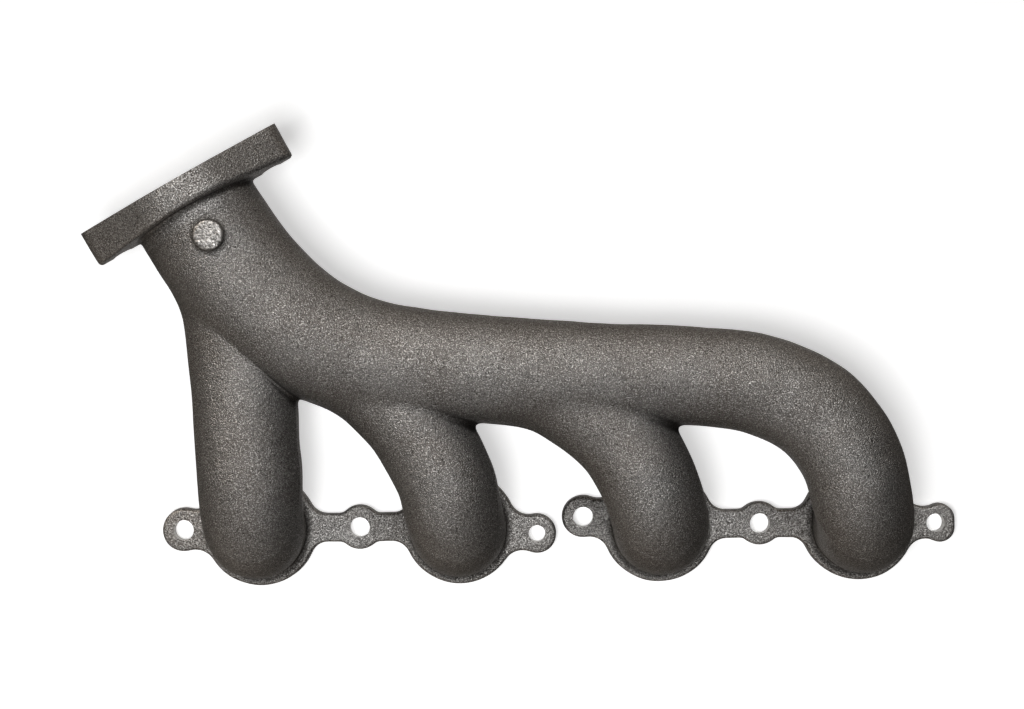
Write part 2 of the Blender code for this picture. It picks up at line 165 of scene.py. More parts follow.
RUNNER_3_STATIONS = (
    (55.3, 3.3, 38.5, 26.3),
    (53.1, 12.7, 47.7, 26.6),
    (46.7, 29.7, 52.6, 26.6),
    (34.8, 50.1, 52.6, 26.6),
    (16.6, 66.6, 52.6, 26.6),
    (-5, 79.8, 52.6, 26.6),
    (-26, 87, 52.6, 26.6),
)

# Cuts between the sections: the route, and the place along it counted in stations.
SECTION_CUTS = (
    ("main", 1.2),
    ("main", 2.25),
    ("main", 4.5),
    ("main", 7.3),
    ("main", 11),
    ("runner_1", 7.75),
    ("runner_2", 6.55),
    ("runner_3", 6.35),
)
# A place on the centreline inside each section. The feet below FOOT_CUT stay with the head flanges.
SECTION_LABELS = {
    "outlet_neck": ("main", 2),
    "collector": ("main", 3.5),
    "log_rear": ("main", 6.2),
    "log_front": ("main", 9.5),
    "runner_4": ("main", 13),
    "runner_1": ("runner_1", 4.5),
    "runner_2": ("runner_2", 4.5),
    "runner_3": ("runner_3", 4.5),
}
FOOT_CUT = 15.5
BOSS_CUT = 96.1
KERF = 0.02
CUT_MARGIN = 7.5
BOSS_CUT_MARGIN = 2

# ---------------------------------------------------------------- how the field is made, millimetres

VOXEL = 0.9
FIELD_LOW = np.array([-264.0, -36.0, -8.0])
FIELD_HIGH = np.array([228.0, 230.0, 108.0])
BAND = 12.0
SEGMENT_LENGTH = 3.0
# Stock left on the milled faces, and the sizes of the blocks that mill it off.
MACHINING_STOCK = 4.0
MILLED_DEPTH = 4 * MACHINING_STOCK
HEAD_MILLING = (700, 700)
HEAD_MILLING_Y = 100
OUTLET_MILLING = (200, 150)
# Lengths of the drills, and how far the outlet's drills are centred below its face.
HEAD_DRILL = 40
OUTLET_DRILL = 60
OUTLET_DRILL_DEPTH = 10
# A junction is nearly sharp along the top of the casting, and well filled at its sides.
TOP_FILLETS = {"runner_1": 1.2, "runner_2": 2.6, "runner_3": 2.6}
SIDE_FILLET = 6.0
SIDE_LEVEL = 54.0
SIDE_REACH = 13.0
FOOT_FILLET = 2.2
NECK_FILLET = 2.0
BORE_FILLET = 8.0
BOSS_BLEND = 2.0
# The parting ridge is level with the log, and rises towards the outlet from PARTING_BEND on.
PARTING_RIDGE = 0.35
PARTING_WIDTH = 1.1
PARTING_LEVEL = 58
PARTING_BEND = -137
PARTING_RISE = 0.06
WAVE_LENGTHS = (58, 44, 33, 27, 21, 17, 13, 10)
WAVE_HEIGHT = 0.08
WAVE_FALLOFF = 0.6
WAVE_SEED = 5
# How far out a point is probed for iron, and in for air, and how wide the normal's probe is in voxels.
CREASE_REACHES = (1.5, 3.0, 5.0)
NORMAL_REACH = 0.7
SHARP_ANGLE = math.radians(35)

# Material slots of the casting's mesh.
CAST, MACHINED = 0, 1

# ---------------------------------------------------------------- looks

IRON_BROWN = (0.094, 0.086, 0.08, 1.0)
IRON_GREY = (0.122, 0.118, 0.114, 1.0)
IRON_FLECK = (0.42, 0.41, 0.395, 1.0)
# The dark of the pits, and also the painted shade that darkens the creases.
IRON_PIT_AND_SHADE = (0.022, 0.02, 0.018, 1.0)
MILLED_DARK = (0.42, 0.41, 0.395, 1.0)
MILLED_BRIGHT = (0.58, 0.57, 0.55, 1.0)
TABLE_DARK = (0.84, 0.84, 0.84, 1.0)
TABLE_LIGHT = (0.86, 0.86, 0.86, 1.0)
WHITE = (1.0, 1.0, 1.0, 1.0)


class Finish(NamedTuple):
    """A cast finish, in metres. Flecks show where the grain's noise is above fleck_start."""

    name: str
    grain_size: float
    grain_depth: float
    pit_depth: float
    fleck_share: float
    fleck_start: float


SKIN = Finish("cast_skin", 0.00065, 0.0005, 0.00035, 0.85, 0.5)
# The flanges and the boss have a coarser grain, and more bright flecks that lighten their flat faces as
# a painted highlight.
FLANGE = Finish("cast_flange", 0.00075, 0.0004, 0.0003, 0.9, 0.44)
BOSS = Finish("cast_boss", 0.0012, 0.0005, 0.0004, 0.95, 0.36)
# Pits are this many times the size of the grain. Lumps and stains are in metres.
PIT_SIZE = 1.8
LUMP_SIZE, LUMP_DEPTH = 0.008, 0.00015
STAIN_SIZE = 0.04

# The room's own light, and the studio lights: name, tilt from overhead and direction in degrees, width
# in metres, watts and colour. The direction is anticlockwise from +X. All stand LIGHT_DISTANCE away.
WORLD_COLOUR = (0.045, 0.041, 0.037, 1.0)
LIGHT_DISTANCE = 1.7
LIGHT_TARGET = Vector((0, 0, 0.05))
CASTING_LIGHTS = (
    ("key_behind", 32, 90, 0.6, 27.0, (1, 1, 1)),
    ("key_left", 62, 135, 0.6, 23.0, (1, 0.9, 0.79)),
    ("key_front", 32, 260, 0.6, 14.0, (1, 1, 1)),
    ("rim_behind", 95, 60, 1.6, 6.0, (1, 0.87, 0.74)),
    ("rim_left", 95, 235, 1.6, 5.5, (1, 0.87, 0.74)),
    ("rim_front", 95, 280, 1.6, 2.3, (1, 0.87, 0.74)),
    ("bounce_below", 180, 0, 1.6, 5.0, (1, 0.98, 0.96)),
)
FLOOR_LIGHTS = (("floor_spot", 11.7, 225, 0.5, 18.0, (1, 1, 1)),)
# The floor, in metres and degrees. It lies just clear of the casting's milled faces.
FLOOR_GLOW = 0.56
FLOOR_RADIUS = 4.0
BACKDROP_RADIUS = 6.0
FLOOR_LEVEL = -0.0004
FLOOR_SIDES = 96
FLOOR_SWEEP_STEP = 6
MERGE_DISTANCE = 0.0001
CAMERA_PLACE = (-0.00799, 0.00121, 1.4)
CAMERA_TURN = math.atan(0.0099)
CAMERA_LENS = 87.23


def hermite(p, q, p_slope, q_slope, t):
    return (
        p * (2 * t**3 - 3 * t**2 + 1)
        + p_slope * (t**3 - 2 * t**2 + t)
        + q * (3 * t**2 - 2 * t**3)
        + q_slope * (t**3 - t**2)
    )


class Route:
    """A smooth curve through stations of x, y, z and radius."""

    def __init__(self, stations):
        self.stations = [Vector(s) for s in stations]
        self.chords = [(b - a).length for a, b in zip(self.stations, self.stations[1:])]
        rises = [
            (b - a) / chord
            for a, b, chord in zip(self.stations, self.stations[1:], self.chords)
        ]
        inner = [
            (rises[i] * self.chords[i + 1] + rises[i + 1] * self.chords[i])
            / (self.chords[i] + self.chords[i + 1])
            for i in range(len(rises) - 1)
        ]
        self.slopes = [rises[0], *inner, rises[-1]]

    def at(self, place):
        """The point and radius at a place counted in stations."""
        i = min(int(place), len(self.chords) - 1)
        chord = self.chords[i]
        return hermite(
            self.stations[i],
            self.stations[i + 1],
            self.slopes[i] * chord,
            self.slopes[i + 1] * chord,
            place - i,
        )

    def heading(self, place):
        step = 0.01
        ahead = min(place + step, len(self.chords))
        behind = max(place - step, 0)
        return (self.at(ahead) - self.at(behind)).xyz.normalized()

    def samples(self):
        """Evenly close points along the whole curve."""
        places = []
        for i, chord in enumerate(self.chords):
            count = max(1, math.ceil(chord / SEGMENT_LENGTH))
            places += [i + k / count for k in range(count)]
        return [self.at(place) for place in (*places, len(self.chords))]


def foot_stations(port_x):
    """The straight foot of a tube, from the elbow down past the head's face."""
    levels = (ELBOW_START, ELBOW_START / 2, 0, -3 * MACHINING_STOCK)
    return tuple((port_x, 0, z, FOOT_RADIUS) for z in levels)


def make_routes():
    """The main tube runs from the outlet to port 4, and the others from their port to the main tube."""
    routes = {"main": Route(MAIN_STATIONS + foot_stations(PORTS[3]))}
    branches = (RUNNER_1_STATIONS, RUNNER_2_STATIONS, RUNNER_3_STATIONS)
    for number, stations in enumerate(branches, 1):
        foot = foot_stations(PORTS[number - 1])[::-1]
        routes[f"runner_{number}"] = Route(foot + stations)
    return routes


# ---------------------------------------------------------------- the flanges' outlines


def belt(circles, arc_step=math.radians(6)):
    """The closed outline of a belt round circles (x, y, radius), listed anticlockwise.

    The belt runs inside a circle whose radius is negative, which makes a concave fillet.
    """
    turns = []
    for (x1, y1, r1), (x2, y2, r2) in zip(circles, circles[1:] + circles[:1]):
        across = max(-1.0, min(1.0, (r1 - r2) / math.hypot(x2 - x1, y2 - y1)))
        turns.append(math.atan2(y2 - y1, x2 - x1) + math.asin(across))
    outline = []
    for i, (x, y, r) in enumerate(circles):
        start = turns[i - 1] - math.pi / 2
        side = math.copysign(1, r)
        sweep = (turns[i] - turns[i - 1]) * side % math.tau * side
        steps = max(1, round(abs(sweep) / arc_step))
        for k in range(steps + 1):
            angle = start + sweep * k / steps
            outline.append((x + r * math.cos(angle), y + r * math.sin(angle)))
    return outline


def fillet_between(a, b, radius, side):
    """The fillet circle that touches circles a and b from outside, on one side of the line a to b."""
    along = Vector((b[0] - a[0], b[1] - a[1]))
    gap = along.length
    reach_a, reach_b = a[2] + radius, b[2] + radius
    forward = (reach_a**2 - reach_b**2 + gap**2) / (2 * gap)
    outward = math.sqrt(reach_a**2 - forward**2) * side
    unit = along / gap
    return (
        a[0] + unit.x * forward - unit.y * outward,
        a[1] + unit.y * forward + unit.x * outward,
        -radius,
    )


def fillet_to_web(circle, radius, towards, side):
    """The fillet circle between a circle and the straight edge of the web beside it."""
    level = WEB_Y + side * (WEB_HALF_HEIGHT + radius)
    forward = math.sqrt((circle[2] + radius) ** 2 - (level - circle[1]) ** 2)
    return (circle[0] + towards * forward, level, -radius)


def flange_outline(left_end, boss, right_end, ports):
    """A head flange's outline, anticlockwise: its lower edge to the right, and back along the top."""
    pad_a, pad_b = [(x, 0, PAD_RADIUS) for x in ports]
    lower = [
        pad_a,
        fillet_to_web(pad_a, PAD_FILLET, 1, -1),
        fillet_to_web(boss, BOSS_FILLET, -1, -1),
        boss,
        fillet_to_web(boss, BOSS_FILLET, 1, -1),
        fillet_to_web(pad_b, PAD_FILLET, -1, -1),
        pad_b,
    ]
    upper = [
        pad_b,
        fillet_to_web(pad_b, PAD_FILLET, -1, 1),
        fillet_to_web(boss, BOSS_FILLET, 1, 1),
        boss,
        fillet_to_web(boss, BOSS_FILLET, -1, 1),
        fillet_to_web(pad_a, PAD_FILLET, 1, 1),
        pad_a,
    ]
    right = [
        fillet_between(pad_b, right_end[0], EAR_FILLET, -1),
        *right_end,
        fillet_between(pad_b, right_end[-1], EAR_FILLET, 1),
    ]
    left = [
        fillet_between(pad_a, left_end[0], EAR_FILLET, -1),
        *left_end,
        fillet_between(pad_a, left_end[-1], EAR_FILLET, 1),
    ]
    return belt(lower + right + upper + left)


def square_ear():
    """The two corner circles of the squared ear, lower one first."""
    rise = SQUARE_EAR_HALF_HEIGHT - SQUARE_EAR_CORNER
    x = SQUARE_EAR_X - SQUARE_EAR_CORNER
    return [(x, side * rise, SQUARE_EAR_CORNER) for side in (-1, 1)]


def flange_outlines():
    return (
        flange_outline([REAR_END_EAR], REAR_BOSS, [REAR_INNER_EAR], PORTS[:2]),
        flange_outline([FRONT_INNER_EAR], FRONT_BOSS, square_ear(), PORTS[2:]),
    )


# ---------------------------------------------------------------- the distance field


def field_axes():
    """The grid's x, y and z, shaped so that they broadcast to the whole field."""
    counts = np.ceil((FIELD_HIGH - FIELD_LOW) / VOXEL).astype(int) + 1
    lines = [low + VOXEL * np.arange(n) for low, n in zip(FIELD_LOW, counts)]
    x, y, z = (line.astype(np.float32) for line in lines)
    return x[:, None, None], y[None, :, None], z[None, None, :]


def block_around(low, high):
    """The part of the grid that holds a box."""
    start = np.floor((np.array(low) - FIELD_LOW) / VOXEL).astype(int)
    stop = np.ceil((np.array(high) - FIELD_LOW) / VOXEL).astype(int) + 1
    return tuple(slice(max(a, 0), max(b, 0)) for a, b in zip(start, stop))


def cut_axes(axes, block):
    x, y, z = axes
    return x[block[0]], y[:, block[1]], z[:, :, block[2]]


def tube_field(axes, samples):
    """The distance to the outside of a round tube with a changing radius."""
    field = np.full(np.broadcast_shapes(*(a.shape for a in axes)), BAND, np.float32)
    for start, end in zip(samples, samples[1:]):
        reach = max(start.w, end.w) + BAND
        low = [min(a, b) - reach for a, b in zip(start.xyz, end.xyz)]
        high = [max(a, b) + reach for a, b in zip(start.xyz, end.xyz)]
        block = block_around(low, high)
        x, y, z = cut_axes(axes, block)
        line = end.xyz - start.xyz
        x, y, z = x - start.x, y - start.y, z - start.z
        along = (x * line.x + y * line.y + z * line.z) / line.length_squared
        along = np.clip(along, 0, 1)
        away = np.sqrt(
            (x - along * line.x) ** 2 + (y - along * line.y) ** 2 + (z - along * line.z) ** 2
        )
        distance = away - (start.w + along * (end.w - start.w))
        field[block] = np.minimum(field[block], distance)
    return field


def smooth_union(a, b, fillet):
    """The union of two fields, with the corner between them filled."""
    near = np.maximum(fillet - np.abs(a - b), 0) / fillet
    return np.minimum(a, b) - near * near * (fillet / 4)


def round_corner(a, b, radius):
    """The overlap of two fields, with the edge between them rounded."""
    a, b = a + radius, b + radius
    outside = np.hypot(np.maximum(a, 0), np.maximum(b, 0))
    return np.minimum(np.maximum(a, b), 0) + outside - radius


def outline_distance(x, y, outline):
    """The signed distance in the plane to a closed outline, negative inside."""
    nearest = np.full(np.broadcast_shapes(x.shape, y.shape), 1e9, np.float32)
    inside = np.zeros(nearest.shape, bool)
    for (x1, y1), (x2, y2) in zip(outline, outline[1:] + outline[:1]):
        dx, dy = x2 - x1, y2 - y1
        length = dx * dx + dy * dy
        if length < 1e-9:
            continue
        t = np.clip(((x - x1) * dx + (y - y1) * dy) / length, 0, 1)
        away = (x - x1 - t * dx) ** 2 + (y - y1 - t * dy) ** 2
        nearest = np.minimum(nearest, away)
        if y1 != y2:
            crosses = (y1 > y) != (y2 > y)
            inside ^= crosses & (x < x1 + (y - y1) * dx / dy)
    distance = np.sqrt(nearest)
    return np.where(inside, -distance, distance)


def head_flange_field(axes, outline):
    """A plate with its upper edge rounded. It runs below the head's face, to be machined."""
    x, y, z = axes
    flat = outline_distance(x, y, outline).astype(np.float32)
    drafted = flat + np.maximum(z, 0) * FLANGE_DRAFT
    return round_corner(drafted, z - FLANGE_THICK, FLANGE_EDGE_ROUND)


def outlet_frame():
    """The outlet flange's own frame: X along its bolts, Y across them and Z out of its face."""
    flat = Vector((math.cos(OUTLET_HEADING), math.sin(OUTLET_HEADING), 0))
    out = flat * math.cos(OUTLET_TILT) + UP * math.sin(OUTLET_TILT)
    along = flat.cross(UP).normalized()
    across = out.cross(along)
    turn = Matrix((along, across, out)).transposed().to_4x4()
    return Matrix.Translation(OUTLET_CENTRE) @ turn


def outlet_coordinates(axes):
    """How far each point of the grid is along, across and out of the outlet flange."""
    x, y, z = (a - c for a, c in zip(axes, OUTLET_CENTRE))
    turn = outlet_frame().to_3x3().transposed()
    return [row.x * x + row.y * y + row.z * z for row in turn]


def diamond_distance(along, across):
    """The distance in the plane to the hub circle joined to the two lobes by straight edges."""
    along, across = np.abs(along), np.abs(across)
    lean = (OUTLET_HUB_RADIUS - OUTLET_LOBE_RADIUS) / OUTLET_BOLT_REACH
    flat = math.sqrt(1 - lean * lean)
    place = flat * along - lean * across
    hub = np.hypot(along, across) - OUTLET_HUB_RADIUS
    lobe = np.hypot(along - OUTLET_BOLT_REACH, across) - OUTLET_LOBE_RADIUS
    edge = lean * along + flat * across - OUTLET_HUB_RADIUS
    beyond = place > flat * OUTLET_BOLT_REACH
    return np.where(place < 0, hub, np.where(beyond, lobe, edge))


def outlet_flange_field(axes):
    along, across, out = outlet_coordinates(axes)
    sides = diamond_distance(along, across)
    back = (-out - OUTLET_THICK) * math.cos(OUTLET_DRAFT) + np.abs(across) * math.sin(OUTLET_DRAFT)
    return round_corner(sides, back, OUTLET_EDGE_ROUND)


def boss_field(axes):
    x, y, z = axes
    sides = np.hypot(x - BOSS_X, y - BOSS_Y) - BOSS_RADIUS
    cap = round_corner(sides, z - BOSS_TOP, BOSS_EDGE_ROUND)
    return np.maximum(cap, BOSS_TOP - BOSS_HEIGHT - z)


def mould_waves(axes):
    """The slow unevenness of a sand mould, from waves of many directions and lengths."""
    rng = np.random.default_rng(WAVE_SEED)
    x, y, z = axes
    waves = np.zeros(np.broadcast_shapes(*(a.shape for a in axes)), np.float32)
    for length in WAVE_LENGTHS:
        turn = rng.normal(size=3)
        turn *= math.tau / length / np.linalg.norm(turn)
        phase = rng.uniform(0, math.tau)
        height = WAVE_HEIGHT * (length / WAVE_LENGTHS[0]) ** WAVE_FALLOFF
        waves += height * np.sin(turn[0] * x + turn[1] * y + turn[2] * z + phase)
    return waves


def parting_ridge(axes):
    """The faint ridge where the halves of the mould met, at the height of the tubes' widest part."""
    x, _, z = axes
    level = PARTING_LEVEL + np.maximum(PARTING_BEND - x, 0) * PARTING_RISE
    return PARTING_RIDGE * np.exp(-(((z - level) / PARTING_WIDTH) ** 2))


def junction_fillet(z, top):
    """The fillet at each height: small on top, and wide beside the tubes' widest part."""
    side = np.exp(-(((z - SIDE_LEVEL) / SIDE_REACH) ** 2))
    return (top + (SIDE_FILLET - top) * side).astype(np.float32)


def casting_fields(axes, routes):
    """The casting with its tubes solid and with them hollow, with stock left on the milled faces."""
    outside = None
    inside = None
    for name, route in routes.items():
        tube = tube_field(axes, route.samples())
        if outside is None:
            outside, inside = tube, tube + WALL
            continue
        outside = smooth_union(outside, tube, junction_fillet(axes[2], TOP_FILLETS[name]))
        inside = smooth_union(inside, tube + WALL, BORE_FILLET)
    outside = outside - parting_ridge(axes)
    for outline in flange_outlines():
        outside = smooth_union(outside, head_flange_field(axes, outline), FOOT_FILLET)
    outside = smooth_union(outside, outlet_flange_field(axes), NECK_FILLET)
    outside = smooth_union(outside, boss_field(axes), BOSS_BLEND)
    outside = outside + mould_waves(axes)
    out = outlet_coordinates(axes)[2]
    outside = np.maximum(outside, out - MACHINING_STOCK)
    outside = np.maximum(outside, -MACHINING_STOCK - axes[2])
    return outside, np.maximum(outside, -inside)


def surface_of(field, name):
    """The field's zero surface as a mesh object, in millimetres."""
    grid = openvdb.FloatGrid(BAND)
    grid.copyFromArray(np.ascontiguousarray(field, np.float32))
    points, _, quads = grid.convertToPolygons(0.0, 0.0)
    points = points * VOXEL + FIELD_LOW
    mesh = bpy.data.meshes.new(name)
    mesh.vertices.add(len(points))
    mesh.vertices.foreach_set("co", points.astype(np.float32).ravel())
    mesh.loops.add(len(quads) * 4)
    mesh.loops.foreach_set("vertex_index", quads.astype(np.int32).ravel())
    mesh.polygons.add(len(quads))
    mesh.polygons.foreach_set("loop_start", np.arange(len(quads), dtype=np.int32) * 4)
    mesh.update(calc_edges=True)
    mesh.validate()
    return add_object(name, mesh)


# ---------------------------------------------------------------- machining and cutting


def add_object(name, data):
    obj = bpy.data.objects.new(name, data)
    bpy.context.scene.collection.objects.link(obj)
    return obj


def add_cylinder(shape, centre, axis, radius, length, sides=96):
    turn = UP.rotation_difference(axis).to_matrix().to_4x4()
    bmesh.ops.create_cone(
        shape,
        cap_ends=True,
        segments=sides,
        radius1=radius,
        radius2=radius,
        depth=length,
        matrix=Matrix.Translation(centre) @ turn,
    )


def cut_away(obj, shape):
    """Cuts the shape out of the object for good, and leaves machined iron where it was."""
    mesh = bpy.data.meshes.new("cutter")
    shape.to_mesh(mesh)
    shape.free()
    for material in obj.data.materials:
        mesh.materials.append(material)
    mesh.polygons.foreach_set("material_index", [MACHINED] * len(mesh.polygons))
    cutter = add_object("cutter", mesh)
    modifier = obj.modifiers.new("cut", "BOOLEAN")
    modifier.solver = "MANIFOLD"
    modifier.operation = "DIFFERENCE"
    modifier.object = cutter
    graph = bpy.context.evaluated_depsgraph_get()
    mesh = bpy.data.meshes.new_from_object(obj.evaluated_get(graph))
    obj.modifiers.clear()
    obj.data = mesh
    bpy.data.objects.remove(cutter)


def machine_faces(casting):
    """Mills the head's face and the outlet's face flat."""
    shape = bmesh.new()
    below = Matrix.Translation((0, HEAD_MILLING_Y, -MILLED_DEPTH / 2))
    below @= Matrix.Diagonal((*HEAD_MILLING, MILLED_DEPTH, 1))
    bmesh.ops.create_cube(shape, matrix=below)
    beyond = Matrix.Translation((0, 0, MILLED_DEPTH / 2))
    beyond @= Matrix.Diagonal((*OUTLET_MILLING, MILLED_DEPTH, 1))
    bmesh.ops.create_cube(shape, matrix=outlet_frame() @ beyond)
    cut_away(casting, shape)


def drill_holes(casting):
    """Drills the bolt holes of the head flanges and the outlet flange right through."""
    shape = bmesh.new()
    for x, y, radius in HEAD_HOLES:
        add_cylinder(shape, (x, y, FLANGE_THICK / 2), UP, radius, HEAD_DRILL)
    plate = outlet_frame()
    out = plate.to_3x3() @ UP
    for side in (-1, 1):
        centre = plate @ Vector((side * OUTLET_BOLT_REACH, 0, -OUTLET_DRILL_DEPTH))
        add_cylinder(shape, centre, out, OUTLET_BOLT_HOLE_RADIUS, OUTLET_DRILL)
    cut_away(casting, shape)


def cut_into_sections(casting, routes):
    """Cuts between sections with discs too thin to see."""
    shape = bmesh.new()
    for name, place in SECTION_CUTS:
        sample = routes[name].at(place)
        add_cylinder(shape, sample.xyz, routes[name].heading(place), sample.w + CUT_MARGIN, KERF)
    for port_x in PORTS:
        add_cylinder(shape, (port_x, 0, FOOT_CUT), UP, FOOT_RADIUS + CUT_MARGIN, KERF)
    cut_away(casting, shape)
    # The boss's disc would cross the neck's, and discs of one cutter mustn't cross.
    shape = bmesh.new()
    add_cylinder(shape, (BOSS_X, BOSS_Y, BOSS_CUT), UP, BOSS_RADIUS + BOSS_CUT_MARGIN, KERF)
    cut_away(casting, shape)


def separate(obj):
    """One object for each loose part."""
    bpy.ops.object.select_all(action="DESELECT")
    obj.select_set(True)
    bpy.context.view_layer.objects.active = obj
    bpy.ops.mesh.separate(type="LOOSE")
    return list(bpy.context.selected_objects)


def points_of(obj):
    points = np.empty(len(obj.data.vertices) * 3, np.float32)
    obj.data.vertices.foreach_get("co", points)
    return points.reshape(-1, 3)


def nearest_part(parts, place):
    return min(parts, key=lambda o: np.linalg.norm(points_of(o) - np.array(place), axis=1).min())


def name_sections(parts, routes):
    """Which part is which CAD node: a section's surface is nearest to its label."""
    found = {}
    for name, (route, place) in SECTION_LABELS.items():
        found[name] = nearest_part(parts, routes[route].at(place).xyz)
    found["head_flange_rear"] = nearest_part(parts, (REAR_MIDDLE + 12, 0, 5))
    found["head_flange_front"] = nearest_part(parts, (FRONT_MIDDLE + 12, 0, 5))
    found["outlet_flange"] = nearest_part(parts, OUTLET_CENTRE)
    found["sensor_boss"] = nearest_part(parts, (BOSS_X, BOSS_Y, BOSS_TOP))
    return found


def sample_field(field, points):
    """The field's value at points in millimetres, by linear interpolation."""
    place = (points - FIELD_LOW) / VOXEL
    place = np.clip(place, 0, np.array(field.shape) - 1.001)
    corner = place.astype(int)
    part = (place - corner).astype(np.float32)
    value = np.zeros(len(points), np.float32)
    for step in np.ndindex(2, 2, 2):
        weight = np.prod(np.where(step, part, 1 - part), axis=1)
        value += weight * field[tuple((corner + step).T)]
    return value


def field_normals(field, points):
    """The field's direction of steepest rise, which is the casting's normal."""
    slopes = []
    for axis in np.eye(3):
        step = axis * VOXEL * NORMAL_REACH
        slopes.append(sample_field(field, points + step) - sample_field(field, points - step))
    slopes = np.stack(slopes, axis=1)
    return slopes / np.maximum(np.linalg.norm(slopes, axis=1, keepdims=True), 1e-9)


def corners_of(obj):
    """The vertex index of each face corner, and whether its face is part of the cast skin."""
    mesh = obj.data
    vertex = np.empty(len(mesh.loops), np.int32)
    mesh.loops.foreach_get("vertex_index", vertex)
    material = np.empty(len(mesh.polygons), np.int32)
    mesh.polygons.foreach_get("material_index", material)
    count = np.empty(len(mesh.polygons), np.int32)
    mesh.polygons.foreach_get("loop_total", count)
    return vertex, np.repeat(material == CAST, count)


def write_attribute(obj, name, values):
    attribute = obj.data.attributes.new(name, "FLOAT", "POINT")
    attribute.data.foreach_set("value", values.astype(np.float32))


def finish_surface(obj, solid, hollow):
    """Smooths the cast skin, and notes how deep in creases and how near an edge each point lies; the
    depth in creases later darkens the colour as painted shade.
    """
    points = points_of(obj)
    normals = field_normals(hollow, points)
    hidden = np.zeros(len(points))
    exposed = np.zeros(len(points))
    for reach in CREASE_REACHES:
        hidden += 1 - sample_field(solid, points + normals * reach) / reach
        exposed += 1 + sample_field(solid, points - normals * reach) / reach
    # How hidden each point lies in creases, kept to darken its colour as painted shade.
    write_attribute(obj, "crease_shade", np.clip(hidden / len(CREASE_REACHES), 0, 1))
    write_attribute(obj, "edge", np.clip(exposed / len(CREASE_REACHES), 0, 1))
    obj.data.shade_smooth()
    obj.data.set_sharp_from_angle(angle=SHARP_ANGLE)
    vertex, cast = corners_of(obj)
    custom = np.where(cast[:, None], normals[vertex], 0)
    obj.data.normals_split_custom_set(custom.tolist())


def move_into_frame(obj):
    """From millimetres in the building frame to metres in the CAD frame, inside the CAD model's box."""
    low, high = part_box("sensor_boss")
    middle = (low + high) / 2
    shift = np.array([middle.x - BOSS_X * MM, middle.y - BOSS_Y * MM, 0])
    points = np.clip(points_of(obj) * MM + shift, CAD_BOX[0], CAD_BOX[1])
    obj.data.vertices.foreach_set("co", points.astype(np.float32).ravel())
    obj.data.update()


def build_casting():
    """The casting's sections, by the CAD node that each stands for."""
    routes = make_routes()
    axes = field_axes()
    solid, hollow = casting_fields(axes, routes)
    casting = surface_of(hollow, "casting")
    for material in (cast_iron(SKIN), machined_iron()):
        casting.data.materials.append(material)
    machine_faces(casting)
    drill_holes(casting)
    cut_into_sections(casting, routes)
    parts = separate(casting)
    print("casting:", len(parts), "loose parts,", sum(len(p.data.polygons) for p in parts), "faces")
    sections = name_sections(parts, routes)
    for obj in sections.values():
        finish_surface(obj, solid, hollow)
        move_into_frame(obj)
    return sections


# ---------------------------------------------------------------- materials


class Graph:
    """Makes a material's nodes, with inputs given as values or as other nodes' outputs."""

    def __init__(self, name):
        self.material = bpy.data.materials.new(name)
        self.material.use_nodes = True
        self.tree = self.material.node_tree
        self.tree.nodes.clear()

    def node(self, kind, inputs=(), **settings):
        made = self.tree.nodes.new("ShaderNode" + kind)
        for key, value in settings.items():
            setattr(made, key, value)
        for key, value in dict(inputs).items():
            if isinstance(value, bpy.types.NodeSocket):
                self.tree.links.new(value, made.inputs[key])
            else:
                made.inputs[key].default_value = value
        return made

    def noise(self, coordinates, size, detail=2.0, roughness=0.5):
        """Noise whose features are about this size in metres."""
        inputs = {
            "Vector": coordinates,
            "Scale": 1 / size,
            "Detail": detail,
            "Roughness": roughness,
        }
        return self.node("TexNoise", inputs).outputs["Fac"]

    def remap(self, value, low, high, to_low=0.0, to_high=1.0):
        inputs = {"Value": value, "From Min": low, "From Max": high, "To Min": to_low, "To Max": to_high}
        return self.node("MapRange", inputs).outputs["Result"]

    def maths(self, operation, *values):
        return self.node("Math", dict(enumerate(values)), operation=operation).outputs[0]

    def mix(self, share, a, b):
        made = self.node("Mix", data_type="RGBA")
        for key, value in ((0, share), (6, a), (7, b)):
            if isinstance(value, bpy.types.NodeSocket):
                self.tree.links.new(value, made.inputs[key])
            else:
                made.inputs[key].default_value = value
        return made.outputs[2]

    def bump(self, height, depth, under=None):
        """A bump this deep in metres, on top of another bump's normal if one is given."""
        inputs = {"Height": height, "Distance": depth}
        if under is not None:
            inputs["Normal"] = under
        return self.node("Bump", inputs).outputs["Normal"]

    def attribute(self, name):
        return self.node("Attribute", attribute_name=name).outputs["Fac"]

    def finish(self, **inputs):
        shader = self.node("BsdfPrincipled", {k.replace("_", " "): v for k, v in inputs.items()})
        self.node("OutputMaterial", {"Surface": shader.outputs[0]})
        return self.material


